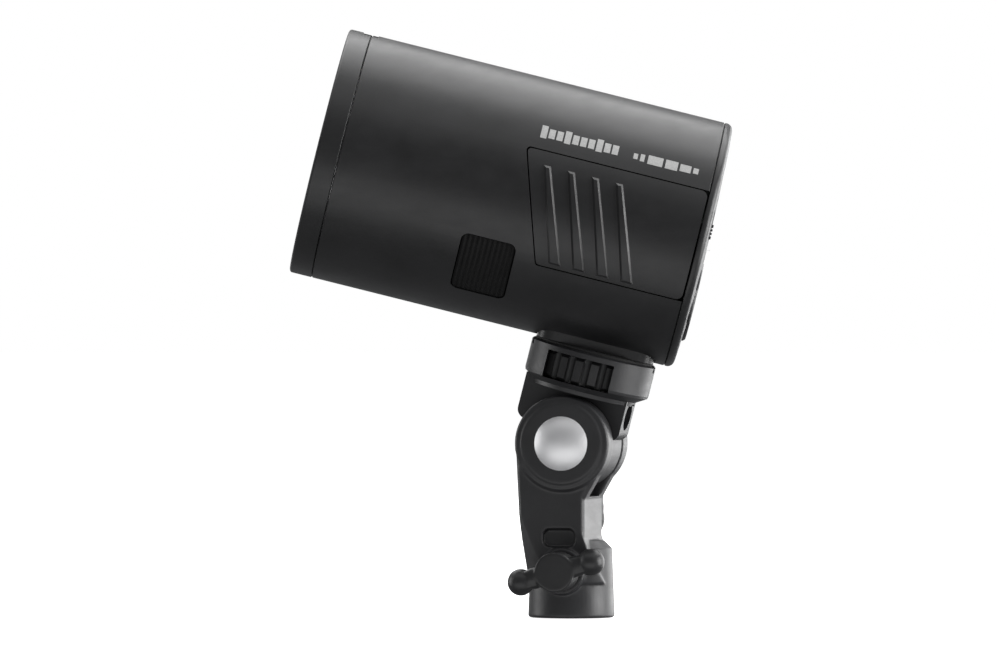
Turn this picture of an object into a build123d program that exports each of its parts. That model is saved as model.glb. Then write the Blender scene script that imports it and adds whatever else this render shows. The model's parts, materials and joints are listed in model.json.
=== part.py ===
from build123d import *

import os
from math import asin, cos, degrees, radians, sin, tan

# Compact battery-powered monolight strobe on its tilting stand and umbrella bracket.
# Millimetres, +Z up.  Row frame: the origin is the centre of the stand socket's mouth, the
# tilt axis runs along Y above it, and the lamp shines toward -X.

# ---------------------------------------------------------------- driving dimensions
# pose of the joints at rest
TILT = 14.4                 # head and umbrella bore raised at the front, degrees
SWIVEL = 12.6               # head turned on its mounting screw, degrees

# stand arm
STAND_BORE = 8.15           # radius, takes a 16 mm stand spigot
STAND_DEPTH = 21.5
SOCKET_WALL = 5.05          # at the mouth
SOCKET_TAPER = 0.8
SOCKET_TALL = 21.0
PIVOT_HEIGHT = 53.0
EAR_RADIUS = 14.6
EAR_THICK = 7.2
SLOT_DROP = 16.2            # floor of that gap, below the pivot
WAIST_INSET = 1.0           # of the waist's faces from the ears'
WAIST_HEIGHT = 24.0
WAIST_FRONT = 13.2
WAIST_REAR = 6.8
BOSS_RADIUS = 12.6          # raised ring on the near ear
BOSS_RISE = 0.6
PIVOT_PIN = 4.0             # radius
DOME_RADIUS = 8.2
DOME_RISE = 2.6
LOCK_HEIGHT = 14.3          # stand lock screw above the mouth
LOCK_SCREW = 3.0            # radius
LOCK_BOSS = 7.0             # radius
LOCK_BOSS_RISE = 2.0        # of its face from the socket's side
LOCK_BUSH = 1.6             # thickness of the threaded insert
WING_SPAN = 14.6            # half, tip to tip of the stand lock knob
WING_LEAN = 16.0            # degrees the wings lean at rest
WING_TIP = 3.4              # radius
KNOB_HUB = 6.2              # radius
KNOB_DEEP = 9.5
LEVER_REACH = 23.5          # centre of the tilt lever's tip from the pivot
LEVER_WIDTH = 9.0
LEVER_HUB = 8.5             # radius
LEVER_DEEP = 18.0
LEVER_NUT = 5.0             # radius
NUT_DEEP = 14.2

# bracket top
TONGUE_HALF = 6.5           # half thickness between the two friction washers
WASHER_THICK = 0.8
TONGUE_RADIUS = 14.2
BLOCK_FRONT = 17.5
BLOCK_REAR = 15.0
UMBRELLA_BORE = 4.2         # radius, takes an 8 mm umbrella shaft
UMBRELLA_HEIGHT = 12.0      # above the pivot
UMBRELLA_LOCK_X = -14.2
UMBRELLA_SCREW = 2.0        # radius
UMBRELLA_KNOB = 6.4         # radius
BUSH_RADIUS = 5.5
NECK_RADIUS = 15.8
NECK_BOTTOM = 15.5
COLLAR_WALL = 1.5
COLLAR_BOTTOM = 18.6
COLLAR_TOP = 26.8
WHEEL_RADIUS = 17.3
WHEEL_GAP = 0.5
WHEEL_FLOOR = 18.3
WHEEL_TEETH = 22
WINDOW_HALF = 10.5          # half width of each finger window in the collar
PLATE_THICK = 2.0
PAD_THICK = 0.95
HEAD_SEAT = 29.8            # underside of the head above the pivot
STUD_RADIUS = 3.175         # 1/4 inch camera screw
STUD_REACH = 6.3            # of the stud inside the head
STUD_FOOT = 2.5             # radius of its plain end
STUD_FOOT_DEEP = 1.3

# head, measured along its axis from the front rim
HEAD_RADIUS = 38.0
HEAD_LENGTH = 121.3
SCREW_FROM_FRONT = 95.8
WALL = 2.5
BEZEL_LENGTH = 7.0
COVER_THICK = 4.0
COVER_LIP = 3.0             # reach of its lip inside the casing
SEAM_GAP = 0.2              # between two casing parts
SEAM_BEVEL = 0.2
FRONT_FLANGE = 3.0
BEZEL_WALL = 5.0            # from the lens to the outside
LENS_THICK = 2.5
LENS_INSET = 1.3
GASKET_THICK = 1.0
NOTCH_START = 4.3
NOTCH_LENGTH = 4.8
NOTCH_DEPTH = 3.0
NOTCH_WIDTH = 11.0
BOWL_FLOOR = 30.0           # distance of the reflector's floor from the front
BOWL_FLOOR_RADIUS = 17.0
BOWL_MOUTH = 4.1            # from the lens's edge to the bowl's
BOWL_WALL = 1.1
BOWL_CURVE = [(0.104, 0.10), (0.252, 0.37), (0.461, 0.664), (0.713, 0.882), (1.0, 0.966)]   # depth, width
TUBE_RING = 12.5
TUBE_RADIUS = 2.4
TUBE_LEG = 4.6              # half the distance between the tube's legs
TUBE_STAND = 7.0            # of the ring in front of the bowl's floor
FOOT_LENGTH = 36.0
FOOT_WIDTH = 28.0
FOOT_THICK = 3.0
FOOT_CORNER = 5.0
FOOT_SCREWS = (14.0, 9.5)  # half spacing along, across
INSERT_RADIUS = 5.5
INSERT_DEEP = 9.0
BOSS_ALONG_TOP = (40.0, 106.0)
BOSS_ALONG_LOW = (40.0, 74.0)
BOSS_INSET = 9.0            # of the shell screws from the outside
BOSS_POST = 3.2             # radius
CASE_SCREW = 1.2            # radius

# inside the head
CAPACITOR_RADIUS = 14.6
CAPACITOR_PLACE = (14.0, 9.5)   # across, above the axis
CAPACITOR_ENDS = (42.0, 100.0)
MAIN_TOP = -22.4            # upper face of the main board
MAIN_FRONT = 44.0
MAIN_ACROSS = (-8.0, 25.0)
BOARD_THICK = 1.6
INDUCTOR_PLACE = (54.0, 9.0)    # along, across
INDUCTOR_RADIUS = 9.0
INDUCTOR_TALL = 9.0
TRANSFORMER_ALONG = (66.0, 78.0)
TRANSFORMER_ACROSS = (3.0, 15.0)
TRANSFORMER_TALL = 10.0
RADIO_ALONG = (94.0, 108.0)
RADIO_ACROSS = (4.0, 20.0)
RADIO_TALL = 2.8

# battery
LEAN = 18.2                 # of the battery's front edge and its grip ribs, degrees
PACK_TOP = 17.5             # above the head's axis
PACK_BOTTOM = -16.0
PACK_FRONT = 61.0           # at its top edge
PACK_REAR_GAP = 0.4         # to the rear cover's seam
PACK_TAIL = 10.4            # of the outer panel behind the deep part
PACK_DEPTH = 9.5            # inner face, from the middle plane
BAY_WALL = 1.2
CELL_THICK = 10.0
CONTACT_ALONG = (83.0, 93.0)
CONTACT_PITCH = 6.0
PACK_WALL = 1.5
PACK_SKIN = 2.5             # thickness of the curved outer panel
PACK_GAP = 0.35
RIB_COUNT = 4
RIB_PITCH = 7.4
RIB_FIRST = 68.2            # foremost rib at its top end
RIB_TOP = 13.5
RIB_BOTTOM = -14.9
RIB_RISE = 0.7
RIB_SLOPE = 0.6             # width of each rib's sloping flanks

# release button
RELEASE_ANGLE = 34.3        # below the horizontal, degrees
RELEASE_FRONT = 48.7
RELEASE_LENGTH = 16.2
RELEASE_WIDTH = 20.4
RELEASE_THICK = 4.4
RELEASE_INSET = 0.35
RELEASE_BACK = 13.0         # of its bridge from the outside
RELEASE_FLANGE = 1.9        # back of its flange behind the cap

# rear controls, places as (across, above the axis)
SHOW_CENTRE = 12.0
SHOW_WIDTH = 42.0
SHOW_HEIGHT = 26.0
DIAL_CENTRE = -17.0
DIAL_RADIUS = 12.4
ENCODER_TALL = 2.6          # leaves room for the set button's travel
KEY_RADIUS = 3.1
KEY_GAP = 0.2
KEYS = {
    "mode_button": (-19.0, -9.5),
    "group_button": (19.0, -9.5),
    "lamp_button": (-21.5, -19.5),
    "menu_button": (21.5, -19.5),
    "test_button": (27.5, 7.5),
}
SWITCH_ACROSS = -27.5
SWITCH_LOW = 3.6            # lower edge of the switch knob at rest
SWITCH_WIDTH = 4.0
SWITCH_KNOB = 4.4
SWITCH_TRAVEL = 4.0
BOARD_SPACE = 4.3           # between the control board and the cover's seam
BOARD_INSET = 8.0           # of its edge from the outside

# side ports, on the far side
PORT_FRONT = 80.0
PORT_LENGTH = 18.0
PORT_HEIGHT = 12.0
PORT_THICK = 2.0
PORT_GAP = 0.3
PORT_HINGE = 0.7            # radius of the flap's hinge bead
PORT_BOARD_INSET = 10.0     # of the port board's face from the outside

RUN = 0.05                  # radial clearance of a running fit

# ---------------------------------------------------------------- sizes that follow from those
SOCKET_FOOT = STAND_BORE + SOCKET_WALL
SOCKET_TOP = SOCKET_FOOT - SOCKET_TAPER
SLOT_HALF = TONGUE_HALF + WASHER_THICK
EAR_FACE = SLOT_HALF + EAR_THICK
WAIST_HALF = EAR_FACE - WAIST_INSET
LOCK_BOSS_FACE = SOCKET_FOOT + LOCK_BOSS_RISE
LOCK_REACH = LOCK_BOSS_FACE + 8.5
WHEEL_CAVITY = WHEEL_RADIUS + WHEEL_GAP
COLLAR_RADIUS = WHEEL_CAVITY + COLLAR_WALL
COVER_SEAM = HEAD_LENGTH - COVER_THICK
LENS_RADIUS = HEAD_RADIUS - BEZEL_WALL
PACK_REAR = COVER_SEAM - PACK_REAR_GAP
PACK_BLOCK_REAR = PACK_REAR - PACK_TAIL
BOARD_FACE = COVER_SEAM - BOARD_SPACE
BOARD_RADIUS = HEAD_RADIUS - BOARD_INSET
PORT_BOARD_FACE = HEAD_RADIUS - PORT_BOARD_INSET
INNER = HEAD_RADIUS - WALL
MIN3 = (Align.CENTER, Align.CENTER, Align.MIN)

BRACKET = Location((0, 0, PIVOT_HEIGHT)) * Rotation(0, TILT, 0)
SEAT = BRACKET * Location((0, 0, HEAD_SEAT)) * Rotation(0, 0, SWIVEL)
HEAD = SEAT * Location((-SCREW_FROM_FRONT, 0, HEAD_RADIUS))


# ---------------------------------------------------------------- helpers
def rod_x(radius, start, end, y=0.0, z=0.0):
    return Location((start, y, z)) * Rotation(0, 90, 0) * Cylinder(radius, end - start, align=MIN3)


def rod_y(radius, start, end, x=0.0, z=0.0):
    return Location((x, start, z)) * Rotation(-90, 0, 0) * Cylinder(radius, end - start, align=MIN3)


def rod_z(radius, start, end, x=0.0, y=0.0):
    return Location((x, y, start)) * Cylinder(radius, end - start, align=MIN3)


def slab(x0, x1, y0, y1, z0, z1):
    middle = Location(((x0 + x1) / 2, (y0 + y1) / 2, (z0 + z1) / 2))
    return middle * Box(x1 - x0, y1 - y0, z1 - z0)


def turned(points):
    """A closed outline of (along the axis, radius) points turned about the X axis."""
    outline = Polyline(*[(s, 0, r) for s, r in points], close=True)
    return revolve(make_face(outline), Axis.X, 360)


def stood(points):
    """A closed outline of (radius, height) points turned about the Z axis."""
    outline = Polyline(*[(r, 0, z) for r, z in points], close=True)
    return revolve(make_face(outline), Axis.Z, 360)


def sheet_xz(face, y0, y1):
    """A face drawn in the XZ plane made solid from y0 to y1."""
    return extrude(Location((0, y0, 0)) * face, y1 - y0, dir=(0, 1, 0))


def rounded_xz(x0, x1, z0, z1, corner):
    plane = Plane(origin=((x0 + x1) / 2, 0, (z0 + z1) / 2), x_dir=(1, 0, 0), z_dir=(0, -1, 0))
    return plane * RectangleRounded(x1 - x0, z1 - z0, corner)


def rounded_pad_x(y_mid, z_mid, width, height, corner, s0, s1):
    """A rounded rectangle facing along X, solid from s0 to s1."""
    plane = Plane(origin=(s0, y_mid, z_mid), x_dir=(0, 1, 0), z_dir=(1, 0, 0))
    return extrude(plane * RectangleRounded(width, height, corner), s1 - s0)


def one(shape):
    """The largest solid of a shape, as a Part."""
    return max(shape.solids(), key=lambda solid: solid.volume)


def save(name, shape, place=Location()):
    export_step(place * shape, f"parts/{name}.step")


# ---------------------------------------------------------------- stand arm
def arm_outline():
    """Side outline of the arm above its socket, in the XZ plane."""
    ear = Location((0, 0, PIVOT_HEIGHT)) * Rotation(90, 0, 0) * Circle(EAR_RADIUS)
    flare = SOCKET_TOP - 0.6
    waist = Polyline(
        (-EAR_RADIUS + 0.1, 0, PIVOT_HEIGHT - 2),
        (-WAIST_FRONT, 0, WAIST_HEIGHT),
        (-flare, 0, SOCKET_TALL / 2),
        (flare, 0, SOCKET_TALL / 2),
        (WAIST_REAR, 0, WAIST_HEIGHT),
        (WAIST_REAR, 0, PIVOT_HEIGHT - 17),
        (EAR_RADIUS - 3.4, 0, PIVOT_HEIGHT - 9.2),
        (EAR_RADIUS - 3.4, 0, PIVOT_HEIGHT),
        close=True,
    )
    return ear + make_face(waist)


def stand_socket_arm():
    shoulder = SOCKET_TALL + 2.4
    socket = stood([(0, 0), (SOCKET_FOOT, 0), (SOCKET_TOP, SOCKET_TALL), (SOCKET_TOP - 2.4, shoulder),
                    (0, shoulder)])
    socket = fillet(socket.edges().group_by(Axis.Z)[0], 0.8)
    upper = sheet_xz(arm_outline(), -WAIST_HALF, WAIST_HALF)
    ears = sheet_xz(Location((0, 0, PIVOT_HEIGHT)) * Rotation(90, 0, 0) * Circle(EAR_RADIUS),
                    -EAR_FACE, EAR_FACE)
    upper = chamfer(one(upper).edges().filter_by(
        lambda e: abs(abs(e.center().Y) - WAIST_HALF) < 0.01 and e.center().Z > 25), 1.0)
    ears = chamfer(ears.edges().filter_by(GeomType.CIRCLE), 0.7)
    ring = rod_y(BOSS_RADIUS, -EAR_FACE - BOSS_RISE, -EAR_FACE + 1, z=PIVOT_HEIGHT)
    ring = chamfer(ring.edges().filter_by(GeomType.CIRCLE).sort_by(Axis.Y)[0], 0.4)
    boss = rod_y(LOCK_BOSS, -LOCK_BOSS_FACE, -STAND_BORE - 1, z=LOCK_HEIGHT)
    body = socket + upper + ears + ring + boss
    slot_floor = PIVOT_HEIGHT - SLOT_DROP
    body -= slab(-40, 40, -SLOT_HALF, SLOT_HALF, slot_floor, PIVOT_HEIGHT + 40)
    body -= rod_z(STAND_BORE, -1, STAND_DEPTH)
    body -= rod_y(PIVOT_PIN + RUN, -40, 40, z=PIVOT_HEIGHT)
    body -= rod_y(LOCK_SCREW + 0.3, -LOCK_BOSS_FACE, -STAND_BORE + 2, z=LOCK_HEIGHT)
    body -= rod_y(LOCK_SCREW + LOCK_BUSH, -LOCK_BOSS_FACE - 1, -STAND_BORE - 0.8, z=LOCK_HEIGHT)
    pocket = sheet_xz(rounded_xz(-6, 4, 21.6, 27.2, 2.2), -WAIST_HALF - 3, -WAIST_HALF + 2.2)
    return one(body - pocket)


def stand_lock_insert():
    bush = rod_y(LOCK_SCREW + LOCK_BUSH, -LOCK_BOSS_FACE, -STAND_BORE - 0.8, z=LOCK_HEIGHT)
    return bush - rod_y(LOCK_SCREW + RUN, -LOCK_BOSS_FACE - 1, 0, z=LOCK_HEIGHT)


def stand_lock_screw():
    screw = rod_y(LOCK_SCREW, -LOCK_REACH, -STAND_BORE - 0.3, z=LOCK_HEIGHT)
    return chamfer(screw.edges().filter_by(GeomType.CIRCLE), 0.5)


def stand_lock_knob():
    near = LOCK_BOSS_FACE + 0.5
    far = near + KNOB_DEEP
    hub = chamfer(rod_y(KNOB_HUB, -far, -near).edges().filter_by(GeomType.CIRCLE), 0.8)
    tip = WING_TIP
    wing = sheet_xz(rounded_xz(-WING_SPAN, WING_SPAN, -tip, tip, tip - 0.05), -far, -near - 2.5)
    wing = chamfer(wing.edges().filter_by(lambda e: abs(e.center().Y + far) < 0.01), 0.8)
    knob = Rotation(0, -WING_LEAN, 0) * one(hub + wing)
    knob = Location((0, 0, LOCK_HEIGHT)) * knob
    return knob - rod_y(LOCK_SCREW, -LOCK_REACH, 0, z=LOCK_HEIGHT)


def pivot_bolt():
    face = EAR_FACE + BOSS_RISE
    sphere = (DOME_RADIUS ** 2 + DOME_RISE ** 2) / (2 * DOME_RISE)
    ball = Location((0, -face - DOME_RISE + sphere, 0)) * Sphere(sphere)
    dome = ball & rod_y(DOME_RADIUS, -face - DOME_RISE - 1, -face)
    shank = rod_y(PIVOT_PIN, -face, EAR_FACE + 0.1)
    thread = rod_y(PIVOT_PIN - 1, EAR_FACE, EAR_FACE + NUT_DEEP - 0.2)
    return Location((0, 0, PIVOT_HEIGHT)) * (dome + shank + thread)


def tilt_washers():
    washers = []
    for inner in (-SLOT_HALF, TONGUE_HALF):
        ring = rod_y(TONGUE_RADIUS - 1.5, inner, inner + WASHER_THICK, z=PIVOT_HEIGHT)
        washers.append(ring - rod_y(PIVOT_PIN + RUN, -20, 20, z=PIVOT_HEIGHT))
    return Compound(children=[one(w) for w in washers])


def tilt_lever():
    """Clamping lever on the far ear, hanging straight down at rest."""
    start = EAR_FACE + 0.3
    hub = chamfer(rod_y(LEVER_HUB, start, start + LEVER_DEEP).edges().filter_by(GeomType.CIRCLE), 0.7)
    half = LEVER_WIDTH / 2
    near, far = start + LEVER_DEEP - 7.2, start + LEVER_DEEP - 0.4
    handle = sheet_xz(rounded_xz(-half, half, -LEVER_REACH - half, half, half - 0.05),
                      near, far)
    handle = chamfer(handle.edges().filter_by(
        lambda e: abs(e.center().Y - far) < 0.01 or abs(e.center().Y - near) < 0.01), 1.0)
    lever = hub + handle - rod_y(LEVER_NUT, start - 1, start + NUT_DEEP + 0.3)
    return Location((0, 0, PIVOT_HEIGHT)) * one(lever)


def tilt_lever_nut():
    start = EAR_FACE + 0.1
    nut = rod_y(LEVER_NUT, start, start + NUT_DEEP)
    nut -= rod_y(PIVOT_PIN - 1 + RUN, start - 1, start + NUT_DEEP - 0.2)
    return Location((0, 0, PIVOT_HEIGHT)) * nut


# ---------------------------------------------------------------- bracket top (own frame)
def tilt_block():
    hub = rod_y(TONGUE_RADIUS, -TONGUE_HALF, TONGUE_HALF)
    body = slab(-BLOCK_FRONT, BLOCK_REAR, -TONGUE_HALF, TONGUE_HALF, 4, 18.0)
    body = fillet(body.edges().filter_by(Axis.Y).group_by(Axis.Z)[0], 3.0)
    shoulder = slab(-BLOCK_FRONT + 1, BLOCK_REAR - 1, -TONGUE_HALF, TONGUE_HALF, -2, 6)
    shoulder &= rod_y(14.2, -TONGUE_HALF, TONGUE_HALF)
    collar = stood([
        (0, NECK_BOTTOM), (NECK_RADIUS, NECK_BOTTOM), (NECK_RADIUS + 0.2, NECK_BOTTOM + 1.2),
        (COLLAR_RADIUS - 0.2, COLLAR_BOTTOM), (COLLAR_RADIUS, COLLAR_BOTTOM + 0.8),
        (COLLAR_RADIUS, COLLAR_TOP), (0, COLLAR_TOP),
    ])
    lug = rod_y(UMBRELLA_SCREW + 1.4, 0, EAR_FACE - 0.9, x=UMBRELLA_LOCK_X, z=UMBRELLA_HEIGHT)
    body = hub + body + shoulder + collar + lug
    body -= rod_z(WHEEL_CAVITY, WHEEL_FLOOR, COLLAR_TOP + 1)
    body -= slab(-WINDOW_HALF, WINDOW_HALF, -30, 30, WHEEL_FLOOR, COLLAR_TOP + 1) - rod_z(10, 0, 60)
    body -= rod_z(STUD_FOOT + RUN, WHEEL_FLOOR - STUD_FOOT_DEEP - 0.2, 30)
    body -= rod_x(UMBRELLA_BORE, -40, 40, z=UMBRELLA_HEIGHT)
    body -= rod_y(BUSH_RADIUS, -20, 20)
    body -= rod_y(UMBRELLA_SCREW + RUN, 1, 20, x=UMBRELLA_LOCK_X, z=UMBRELLA_HEIGHT)
    return one(body)


def pivot_bush():
    return rod_y(BUSH_RADIUS, -TONGUE_HALF, TONGUE_HALF) - rod_y(PIVOT_PIN + RUN, -20, 20)


def umbrella_lock_screw():
    tip = UMBRELLA_BORE + 0.15
    return rod_y(UMBRELLA_SCREW, tip, EAR_FACE + 6.5, x=UMBRELLA_LOCK_X, z=UMBRELLA_HEIGHT)


def umbrella_lock_knob():
    start = EAR_FACE + 0.6
    knob = rod_y(UMBRELLA_KNOB, start, start + 9)
    knob = chamfer(knob.edges().filter_by(GeomType.CIRCLE), 0.7)
    for index in range(16):
        angle = index * 22.5
        flute = Rotation(0, angle, 0) * rod_y(0.75, start - 1, start + 7.6, x=UMBRELLA_KNOB + 0.3)
        knob -= flute
    knob -= rod_y(UMBRELLA_SCREW, start - 1, EAR_FACE + 6.5)
    return Location((UMBRELLA_LOCK_X, 0, UMBRELLA_HEIGHT)) * one(knob)


def platform_plate():
    plate = rod_z(COLLAR_RADIUS, COLLAR_TOP, COLLAR_TOP + PLATE_THICK)
    plate = chamfer(plate.edges().filter_by(GeomType.CIRCLE).sort_by(Axis.Z)[-1], 0.5)
    plate -= rod_z(STUD_RADIUS + 0.3, 0, 60)
    for x, y in screw_ring():
        plate -= rod_z(1.1, 0, 60, x, y)
    return plate


def screw_ring():
    """Places of the three screws that hold the plate on the collar wall."""
    reach = (WHEEL_CAVITY + COLLAR_RADIUS) / 2
    return [(reach * cos(radians(a)), reach * sin(radians(a))) for a in (0, 155, 205)]


def platform_pad():
    pad_base = COLLAR_TOP + PLATE_THICK
    pad = rod_z(COLLAR_RADIUS - 1.0, pad_base, pad_base + PAD_THICK)
    pad = chamfer(pad.edges().filter_by(GeomType.CIRCLE).sort_by(Axis.Z)[-1], 0.3)
    return pad - rod_z(STUD_RADIUS + 0.3, 0, 60)


def thumbwheel():
    low = WHEEL_FLOOR + 0.3
    high = COLLAR_TOP - 0.3
    wheel = rod_z(WHEEL_RADIUS, low, high)
    wheel = chamfer(wheel.edges().filter_by(GeomType.CIRCLE), 0.8)
    for index in range(WHEEL_TEETH):
        angle = index * 360 / WHEEL_TEETH
        wheel -= Rotation(0, 0, angle) * rod_z(1.25, low - 1, high + 1, WHEEL_RADIUS + 0.1)
    return one(wheel - rod_z(STUD_RADIUS, low - 1, high + 1))


def mounting_stud():
    top = HEAD_SEAT + STUD_REACH
    stud = rod_z(STUD_RADIUS, WHEEL_FLOOR + 0.3, top)
    stud = chamfer(stud.edges().sort_by(Axis.Z)[-1], 0.6)
    return stud + rod_z(STUD_FOOT, WHEEL_FLOOR - STUD_FOOT_DEEP, WHEEL_FLOOR + 0.4)


# ---------------------------------------------------------------- casing (head frame)
def cut_notch(shape):
    """Take the accessory locating notch out of the top of a casing part."""
    low = HEAD_RADIUS - NOTCH_DEPTH
    return shape - slab(NOTCH_START, NOTCH_START + NOTCH_LENGTH,
                        -NOTCH_WIDTH / 2, NOTCH_WIDTH / 2, low, HEAD_RADIUS + 5)


def magnet_places():
    ring = HEAD_RADIUS - 2.4
    return [(ring * cos(radians(a)), ring * sin(radians(a))) for a in range(30, 390, 60)]


def front_bezel():
    end = BEZEL_LENGTH - SEAM_GAP / 2
    seat = LENS_RADIUS + 0.2
    ring = turned([
        (0, seat - 1.8), (0, HEAD_RADIUS - 0.7), (0.25, HEAD_RADIUS - 0.2), (0.7, HEAD_RADIUS),
        (end - SEAM_BEVEL, HEAD_RADIUS), (end, HEAD_RADIUS - SEAM_BEVEL),
        (end, seat), (LENS_INSET, seat), (LENS_INSET, seat - 1.8),
    ])
    for y, z in magnet_places():
        ring -= rod_x(1.5, 0.5, 3.0, y, z)
    return cut_notch(ring)


def accessory_magnets():
    return Compound(children=[one(rod_x(1.5, 0.5, 3.0, y, z)) for y, z in magnet_places()])


def front_lens():
    lens = rod_x(LENS_RADIUS, LENS_INSET, LENS_INSET + LENS_THICK)
    return chamfer(lens.edges().filter_by(GeomType.CIRCLE), 0.3)


def lens_gasket():
    start = LENS_INSET + LENS_THICK
    return rod_x(LENS_RADIUS, start, start + GASKET_THICK) - rod_x(LENS_RADIUS - 1.8, 0, 10)


def reflector():
    """Polished bowl with a flange clamped behind the gasket."""
    rim = LENS_INSET + LENS_THICK + GASKET_THICK
    mouth = LENS_RADIUS - BOWL_MOUTH
    deep, narrow = BOWL_FLOOR - BEZEL_LENGTH, mouth - BOWL_FLOOR_RADIUS
    inner = [(BOWL_FLOOR - a * deep, BOWL_FLOOR_RADIUS + b * narrow) for a, b in BOWL_CURVE]
    outer = [(s + 0.4, r + BOWL_WALL) for s, r in inner[:-1]]
    bowl = turned([(rim, LENS_RADIUS), (BEZEL_LENGTH, LENS_RADIUS), (BEZEL_LENGTH, mouth + 0.8),
                   (BEZEL_LENGTH + 0.1, mouth + 0.7)] + outer[::-1]
                  + [(BOWL_FLOOR + 1, BOWL_FLOOR_RADIUS), (BOWL_FLOOR + 1, 0), (BOWL_FLOOR, 0),
                     (BOWL_FLOOR, BOWL_FLOOR_RADIUS - 0.8)] + inner + [(rim, mouth)])
    for z in (-TUBE_LEG, TUBE_LEG):
        bowl -= rod_x(TUBE_RADIUS + 0.6, 20, 40, tube_leg_across(), z)
    bowl -= rod_x(6.2, 20, 40)
    return one(bowl)


def tube_leg_across():
    return (TUBE_RING ** 2 - TUBE_LEG ** 2) ** 0.5


def flash_tube():
    """Ring-shaped discharge tube with two legs through the reflector's floor."""
    across = tube_leg_across()
    depth = BOWL_FLOOR - TUBE_STAND
    from_angle = degrees(asin(TUBE_LEG / TUBE_RING))
    ring = Torus(TUBE_RING, TUBE_RADIUS, major_angle=360 - 2 * from_angle)
    tube = Rotation(90 + from_angle, 0, 0) * (Location((depth, 0, 0)) * Rotation(0, 90, 0) * ring)
    for z in (-TUBE_LEG, TUBE_LEG):
        tube += rod_x(TUBE_RADIUS, depth, BOWL_FLOOR + 5, across, z)
        tube += Location((depth, across, z)) * Sphere(TUBE_RADIUS)
    return one(tube)


def tube_holder():
    """Ceramic block behind the bowl that grips the tube's legs."""
    holder = rod_x(BOWL_FLOOR_RADIUS - 0.5, BOWL_FLOOR + 1, BOWL_FLOOR + 6)
    for z in (-TUBE_LEG, TUBE_LEG):
        holder -= rod_x(TUBE_RADIUS, 20, 40, tube_leg_across(), z)
    return one(holder - rod_x(6.0, 20, 60))


def lamp_board():
    """Small round board on a stem, for the modelling lamps."""
    return rod_x(7.0, BOWL_FLOOR - 3.0, BOWL_FLOOR - 1.6) + rod_x(6.0, BOWL_FLOOR - 1.7, BOWL_FLOOR + 6)


def modelling_lamps():
    face = BOWL_FLOOR - 3.0
    places = [(-2.6, -2.6), (2.6, -2.6), (-2.6, 2.6), (2.6, 2.6)]
    return Compound(children=[
        one(slab(face - 1.0, face, y - 1.7, y + 1.7, z - 1.7, z + 1.7)) for y, z in places])


def casing_tube():
    start = BEZEL_LENGTH + SEAM_GAP / 2
    end = COVER_SEAM - SEAM_GAP / 2
    ledge = LENS_RADIUS - 3
    return turned([
        (start, HEAD_RADIUS - SEAM_BEVEL), (start + SEAM_BEVEL, HEAD_RADIUS),
        (end - SEAM_BEVEL, HEAD_RADIUS), (end, HEAD_RADIUS - SEAM_BEVEL), (end, INNER),
        (start + FRONT_FLANGE, INNER), (start + FRONT_FLANGE, ledge), (start, ledge),
    ])


def foot_box(grow, z0, z1):
    half_long = FOOT_LENGTH / 2 + grow
    half_wide = FOOT_WIDTH / 2 + grow
    plane = Plane(origin=(SCREW_FROM_FRONT, 0, z0))
    return extrude(plane * RectangleRounded(2 * half_long, 2 * half_wide, FOOT_CORNER + grow), z1 - z0)


def foot_screw_places():
    along, across = FOOT_SCREWS
    return [(SCREW_FROM_FRONT + x, y) for x in (-along, along) for y in (-across, across)]


def casing_with_foot_seat():
    tube = casing_tube()
    seat = FOOT_THICK - HEAD_RADIUS
    long, wide = FOOT_LENGTH / 2 + 2, FOOT_WIDTH / 2 + 2
    pad = slab(SCREW_FROM_FRONT - long, SCREW_FROM_FRONT + long, -wide, wide, -HEAD_RADIUS, seat + 3)
    tube += pad & rod_x(HEAD_RADIUS - 0.3, SCREW_FROM_FRONT - long, COVER_SEAM - COVER_LIP - 0.2)
    tube -= foot_box(0.1, -HEAD_RADIUS - 5, seat)
    tube -= rod_z(INSERT_RADIUS, -HEAD_RADIUS - 5, seat + INSERT_DEEP, SCREW_FROM_FRONT)
    for x, y in foot_screw_places():
        tube -= rod_z(CASE_SCREW, -HEAD_RADIUS - 5, seat + 2.4, x, y)
    return tube


def boss_places():
    """Screw bosses that join the two casing halves: (along, above the axis)."""
    out = HEAD_RADIUS - BOSS_INSET
    return [(s, out) for s in BOSS_ALONG_TOP] + [(s, -out) for s in BOSS_ALONG_LOW]


def pack_outline(grow, rear, corner):
    """The battery's side outline: a leaning front edge and rounded corners."""
    lean = tan(radians(LEAN))
    side = grow / cos(radians(LEAN))
    top = PACK_TOP + grow
    bottom = PACK_BOTTOM - grow
    front_top = PACK_FRONT - side - grow * lean
    front_bottom = PACK_FRONT - side + (PACK_TOP - bottom) * lean
    outline = make_face(Polyline((front_top, 0, top), (rear, 0, top), (rear, 0, bottom),
                                 (front_bottom, 0, bottom), close=True))
    return fillet(outline.vertices(), corner)


def left_shell():
    half = one(casing_with_foot_seat() & slab(-10, COVER_SEAM, -60, 0, -60, 60))
    for s, z in boss_places():
        post = rod_y(BOSS_POST, -25, 0, s, z) & rod_x(INNER + 0.5, 0, COVER_SEAM)
        half = half + post - rod_y(CASE_SCREW, -9, 1, s, z)
    half -= sheet_xz(pack_outline(PACK_GAP, COVER_SEAM + 3, 1.2), -60, -20)
    half = cut_notch(half)
    half += release_bracket()
    return one(half - release_prism(PACK_GAP, -HEAD_RADIUS - 5, 8 - HEAD_RADIUS))


def capacitor_ribs():
    """Cradle ribs of the right shell that hug the capacitor."""
    ribs = slab(54, 56, 10, 60, 1.5, 60) + slab(86, 88, 10, 60, 1.5, 60)
    ribs &= rod_x(INNER + 0.3, 40, 110)
    return ribs - rod_x(CAPACITOR_RADIUS + 0.3, 40, 110, *CAPACITOR_PLACE)


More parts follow.
